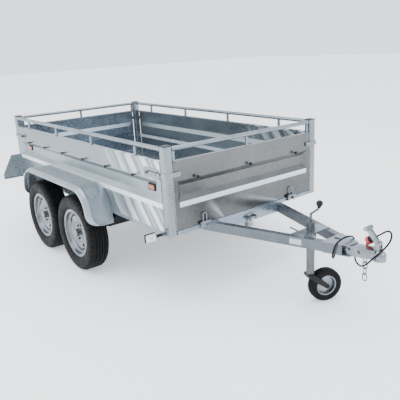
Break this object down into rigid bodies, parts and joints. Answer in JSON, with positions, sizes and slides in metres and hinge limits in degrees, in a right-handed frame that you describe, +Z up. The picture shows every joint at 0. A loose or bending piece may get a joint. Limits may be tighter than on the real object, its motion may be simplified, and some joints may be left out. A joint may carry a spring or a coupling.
{
  "type": "livestock trailer",
  "caption": "Open galvanised box trailer with drop-down ends and rope rails on sprung tandem axles, with a V-shaped drawbar, ball coupling, safety chain, jockey wheel and plug lead.",
  "frame": {"origin": "on the ground under the middle of the overall box, the free lead left out", "axes": "+X forward along the drawbar, +Y to the left, +Z up"},
  "size_m": [3.5949, 1.736, 1.031],
  "materials": {
    "galvanised_sheet": "hot-dip galvanised sheet, pale blue-grey spangle with soft reflections",
    "galvanised_frame": "hot-dip galvanised tube and plate, satin grey",
    "black_steel": "black paint",
    "zinc_steel": "bright zinc plate",
    "silver_paint": "silver wheel enamel",
    "tyre_rubber": "black rubber",
    "black_plastic": "black plastic",
    "cord_rubber": "black cable sheath",
    "red_plastic": "red plastic",
    "amber_lens": "amber lens",
    "clear_lens": "white lens in a dark case"
  },
  "bodies": {
    "chassis": {"axle_tubes": "black_steel", "corner_posts": "galvanised_frame", "coupling_body": "zinc_steel", "coupling_bolts": "zinc_steel", "drawbar_arm_left": "galvanised_frame", "drawbar_arm_right": "galvanised_frame", "drawbar_plates": "galvanised_frame", "electric_lead": "cord_rubber", "floor_frame": "galvanised_frame", "floor_panel": "galvanised_sheet", "front_lock": "black_steel", "hinge_brackets": "galvanised_frame", "jockey_sleeve": "zinc_steel", "latch_plates": "galvanised_frame", "lead_gland": "black_plastic", "lead_plug": "black_plastic", "light_boards": "galvanised_frame", "marker_lamps": "clear_lens", "mudguard_left": "galvanised_sheet", "mudguard_right": "galvanised_sheet", "plug_holder": "red_plastic", "rear_lamps": "red_plastic", "side_hooks": "black_steel", "side_panel_left": "galvanised_sheet", "side_panel_right": "galvanised_sheet", "side_rails": "galvanised_frame", "side_reflectors": "amber_lens"},
    "headboard": {"headboard_panel": "galvanised_sheet", "headboard_rail": "galvanised_frame", "headboard_fittings": "galvanised_frame"},
    "tailgate": {"tailgate_panel": "galvanised_sheet", "tailgate_rail": "galvanised_frame", "tailgate_fittings": "galvanised_frame"},
    "latch_front_left": {"latch_lever_front_left": "zinc_steel"},
    "latch_front_right": {"latch_lever_front_right": "zinc_steel"},
    "latch_rear_left": {"latch_lever_rear_left": "zinc_steel"},
    "latch_rear_right": {"latch_lever_rear_right": "zinc_steel"},
    "arm_front_left": {"swing_arm_front_left": "black_steel"},
    "wheel_front_left": {"wheel_front_left": "silver_paint", "tyre_front_left": "tyre_rubber"},
    "arm_front_right": {"swing_arm_front_right": "black_steel"},
    "wheel_front_right": {"wheel_front_right": "silver_paint", "tyre_front_right": "tyre_rubber"},
    "arm_rear_left": {"swing_arm_rear_left": "black_steel"},
    "wheel_rear_left": {"wheel_rear_left": "silver_paint", "tyre_rear_left": "tyre_rubber"},
    "arm_rear_right": {"swing_arm_rear_right": "black_steel"},
    "wheel_rear_right": {"wheel_rear_right": "silver_paint", "tyre_rear_right": "tyre_rubber"},
    "jockey_lift": {"jockey_tube": "zinc_steel"},
    "jockey_castor": {"jockey_fork": "black_steel"},
    "jockey_wheel": {"jockey_rim": "zinc_steel", "jockey_tyre": "tyre_rubber"},
    "jockey_crank": {"jockey_crank": "zinc_steel"},
    "clamp_handle": {"clamp_handle": "zinc_steel"},
    "coupling_handle": {"coupling_handle": "zinc_steel"},
    "chain_link_1": {"chain_link_1": "zinc_steel"},
    "chain_link_2": {"chain_link_2": "zinc_steel"},
    "chain_link_3": {"chain_link_3": "zinc_steel"}
  },
  "joints": [
    {"name": "headboard_hinge", "type": "hinge", "parent": "chassis", "child": "headboard", "pos_m": [0.757, 0, 0.512], "axis": [0, 1, 0], "range_deg": [0, 65]},
    {"name": "tailgate_hinge", "type": "hinge", "parent": "chassis", "child": "tailgate", "pos_m": [-1.763, 0, 0.512], "axis": [0, -1, 0], "range_deg": [0, 145]},
    {"name": "latch_front_left_turn", "type": "hinge", "parent": "chassis", "child": "latch_front_left", "pos_m": [0.653, 0.6785, 0.858], "axis": [0, 1, 0], "range_deg": [0, 80]},
    {"name": "latch_front_right_turn", "type": "hinge", "parent": "chassis", "child": "latch_front_right", "pos_m": [0.653, -0.6785, 0.858], "axis": [0, 1, 0], "range_deg": [0, 80]},
    {"name": "latch_rear_left_turn", "type": "hinge", "parent": "chassis", "child": "latch_rear_left", "pos_m": [-1.659, 0.6785, 0.858], "axis": [0, -1, 0], "range_deg": [0, 80]},
    {"name": "latch_rear_right_turn", "type": "hinge", "parent": "chassis", "child": "latch_rear_right", "pos_m": [-1.659, -0.6785, 0.858], "axis": [0, -1, 0], "range_deg": [0, 80]},
    {"name": "suspension_front_left", "type": "hinge", "parent": "chassis", "child": "arm_front_left", "pos_m": [-0.118, 0.62, 0.364], "axis": [0, 1, 0], "range_deg": [-10, 10], "stiffness_Nm_per_rad": 6000, "springref_deg": -1.29},
    {"name": "wheel_front_left_spin", "type": "hinge", "parent": "arm_front_left", "child": "wheel_front_left", "pos_m": [-0.268, 0.778, 0.289], "axis": [0, 1, 0], "continuous": true},
    {"name": "suspension_front_right", "type": "hinge", "parent": "chassis", "child": "arm_front_right", "pos_m": [-0.118, -0.62, 0.364], "axis": [0, 1, 0], "range_deg": [-10, 10], "stiffness_Nm_per_rad": 6000, "springref_deg": -1.29},
    {"name": "wheel_front_right_spin", "type": "hinge", "parent": "arm_front_right", "child": "wheel_front_right", "pos_m": [-0.268, -0.778, 0.289], "axis": [0, 1, 0], "continuous": true},
    {"name": "suspension_rear_left", "type": "hinge", "parent": "chassis", "child": "arm_rear_left", "pos_m": [-0.738, 0.62, 0.364], "axis": [0, 1, 0], "range_deg": [-10, 10], "stiffness_Nm_per_rad": 6000, "springref_deg": -1.29},
    {"name": "wheel_rear_left_spin", "type": "hinge", "parent": "arm_rear_left", "child": "wheel_rear_left", "pos_m": [-0.888, 0.778, 0.289], "axis": [0, 1, 0], "continuous": true},
    {"name": "suspension_rear_right", "type": "hinge", "parent": "chassis", "child": "arm_rear_right", "pos_m": [-0.738, -0.62, 0.364], "axis": [0, 1, 0], "range_deg": [-10, 10], "stiffness_Nm_per_rad": 6000, "springref_deg": -1.29},
    {"name": "wheel_rear_right_spin", "type": "hinge", "parent": "arm_rear_right", "child": "wheel_rear_right", "pos_m": [-0.888, -0.778, 0.289], "axis": [0, 1, 0], "continuous": true},
    {"name": "jockey_lift_slide", "type": "slide", "parent": "chassis", "child": "jockey_lift", "axis": [0, 0, -1], "range_m": [0, 0.15]},
    {"name": "jockey_crank_turn", "type": "hinge", "parent": "chassis", "child": "jockey_crank", "pos_m": [1.273, 0, 0.586], "axis": [0, 0, 1], "range_deg": [0, 5400]},
    {"name": "jockey_swivel", "type": "hinge", "parent": "jockey_lift", "child": "jockey_castor", "pos_m": [1.273, 0, 0.187], "axis": [0, 0, 1], "continuous": true},
    {"name": "jockey_wheel_spin", "type": "hinge", "parent": "jockey_castor", "child": "jockey_wheel", "pos_m": [1.31207, 0.09205, 0.1075], "axis": [-0.9205, 0.3907, 0], "continuous": true},
    {"name": "clamp_handle_turn", "type": "hinge", "parent": "chassis", "child": "clamp_handle", "pos_m": [1.223, 0, 0.446], "axis": [1, 0, 0], "range_deg": [0, 720]},
    {"name": "coupling_handle_lift", "type": "hinge", "parent": "chassis", "child": "coupling_handle", "pos_m": [1.737, 0, 0.522], "axis": [0, 1, 0], "range_deg": [0, 40], "stiffness_Nm_per_rad": 0.5, "springref_deg": -17.19},
    {"name": "chain_hang", "type": "hinge", "parent": "chassis", "child": "chain_link_1", "pos_m": [1.66, 0, 0.388], "axis": [0, 1, 0], "range_deg": [-30, 30]},
    {"name": "chain_link_1_2", "type": "hinge", "parent": "chain_link_1", "child": "chain_link_2", "pos_m": [1.66, 0, 0.3523], "axis": [1, 0, 0], "range_deg": [-30, 30]},
    {"name": "chain_link_2_3", "type": "hinge", "parent": "chain_link_2", "child": "chain_link_3", "pos_m": [1.66, 0, 0.3166], "axis": [0, 1, 0], "range_deg": [-30, 30]}
  ],
  "couplings": [
    {"joint": "jockey_crank_turn", "follows": "jockey_lift_slide", "rad_per_m": 628.32}
  ]
}
